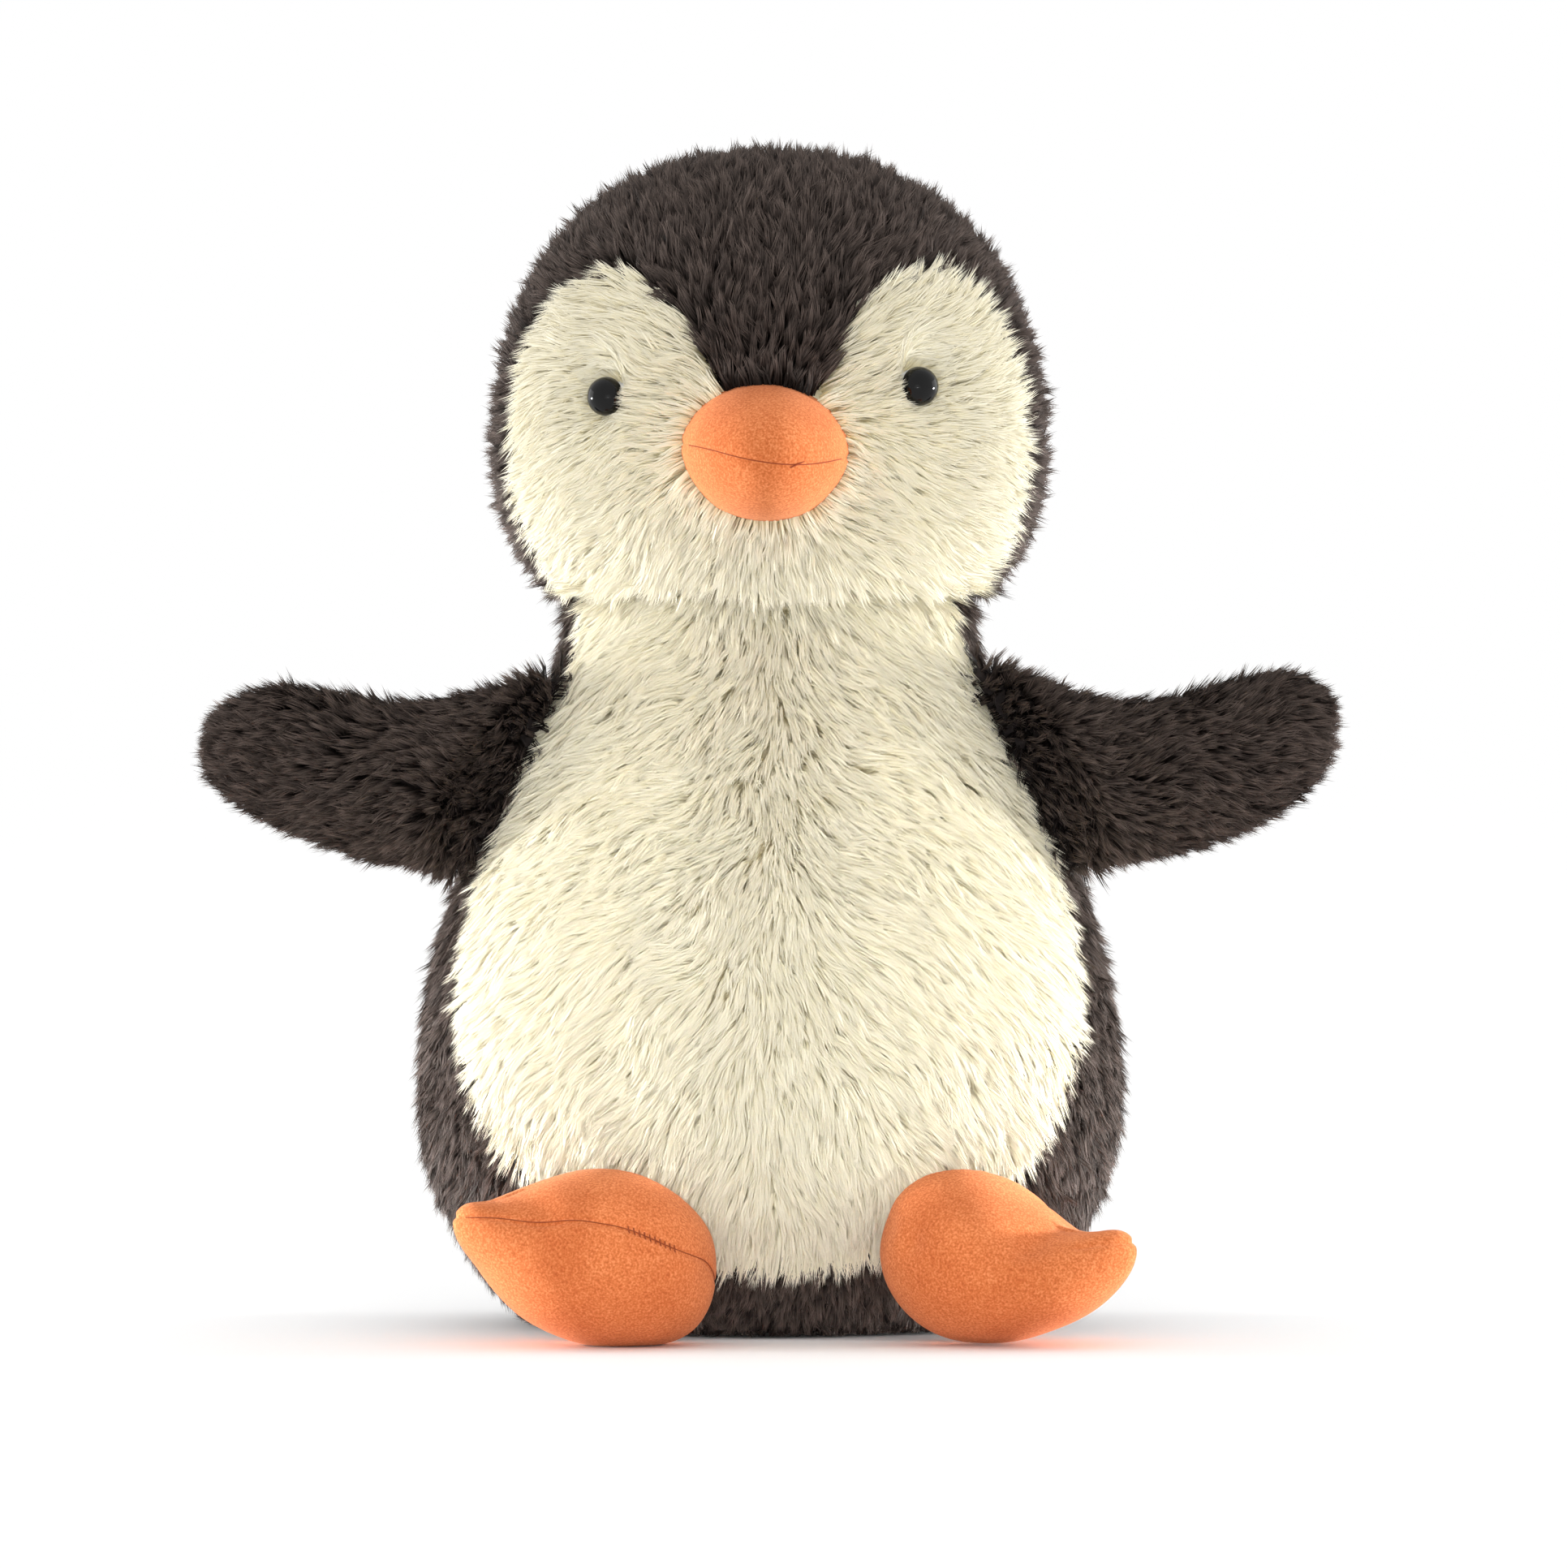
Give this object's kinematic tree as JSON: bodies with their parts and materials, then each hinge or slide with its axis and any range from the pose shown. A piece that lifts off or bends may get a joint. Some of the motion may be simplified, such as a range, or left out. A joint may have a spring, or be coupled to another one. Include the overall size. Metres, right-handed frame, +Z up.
{
  "type": "plush penguin",
  "caption": "Sitting plush penguin with long-pile fur panels, a stuffed beak, springy flippers and feet, and a head that turns and nods.",
  "frame": {"origin": "on the table, at the middle of the toy's outline box", "axes": "+Z up, the toy faces -Y, +X towards the viewer's right when the toy faces the viewer"},
  "size_m": [0.216, 0.13, 0.226],
  "materials": {
    "dark_fur": "long-pile charcoal-brown fur",
    "cream_fur": "long-pile cream fur",
    "orange_suede": "short-nap suedette",
    "eye_plastic": "polished black",
    "washer_plastic": "moulded white",
    "stuffing": "polyester fibre",
    "pouch_cloth": "plain woven cotton",
    "pellet_plastic": "small plastic beads"
  },
  "bodies": {
    "torso": {"belly_left": "cream_fur", "belly_right": "cream_fur", "back_left": "dark_fur", "back_right": "dark_fur", "base_panel": "dark_fur", "torso_fill": "stuffing", "pellet_pouch": "pouch_cloth", "pellets": "pellet_plastic"},
    "neck": {"neck_fill": "stuffing"},
    "head": {"hood_left": "dark_fur", "hood_right": "dark_fur", "face_left": "cream_fur", "face_right": "cream_fur", "head_fill": "stuffing", "eye_left": "eye_plastic", "eye_right": "eye_plastic", "eye_washer_left": "washer_plastic", "eye_washer_right": "washer_plastic", "beak_upper": "orange_suede", "beak_lower": "orange_suede", "beak_fill": "stuffing"},
    "flipper_left": {"flipper_left_front": "dark_fur", "flipper_left_back": "dark_fur", "flipper_left_fill": "stuffing"},
    "foot_left": {"foot_left_upper": "orange_suede", "foot_left_sole": "orange_suede", "foot_left_fill": "stuffing"},
    "flipper_right": {"flipper_right_front": "dark_fur", "flipper_right_back": "dark_fur", "flipper_right_fill": "stuffing"},
    "foot_right": {"foot_right_upper": "orange_suede", "foot_right_sole": "orange_suede", "foot_right_fill": "stuffing"}
  },
  "joints": [
    {"name": "head_turn", "type": "hinge", "parent": "torso", "child": "neck", "pos_m": [0, 0.01346, 0.1053], "axis": [0, 0, 1], "range_deg": [-35, 35], "stiffness_Nm_per_rad": 0.6},
    {"name": "head_nod", "type": "hinge", "parent": "neck", "child": "head", "pos_m": [0, 0.01346, 0.1053], "axis": [1, 0, 0], "range_deg": [-10, 14], "stiffness_Nm_per_rad": 0.8},
    {"name": "flipper_left_swing", "type": "hinge", "parent": "torso", "child": "flipper_left", "pos_m": [-0.0505, 0.00046, 0.1065], "axis": [0.4277, 0, 0.9039], "range_deg": [-40, 65], "stiffness_Nm_per_rad": 0.08},
    {"name": "flipper_right_swing", "type": "hinge", "parent": "torso", "child": "flipper_right", "pos_m": [0.0505, 0.00046, 0.1065], "axis": [0.4277, 0, -0.9039], "range_deg": [-40, 65], "stiffness_Nm_per_rad": 0.08},
    {"name": "foot_left_flex", "type": "hinge", "parent": "torso", "child": "foot_left", "pos_m": [-0.02291, -0.03316, 0.014], "axis": [-0.9399, 0.3416, 0], "range_deg": [-35, 20], "stiffness_Nm_per_rad": 0.15},
    {"name": "foot_right_flex", "type": "hinge", "parent": "torso", "child": "foot_right", "pos_m": [0.03115, -0.02948, 0.014], "axis": [-0.8812, -0.4728, 0], "range_deg": [-35, 20], "stiffness_Nm_per_rad": 0.15}
  ]
}
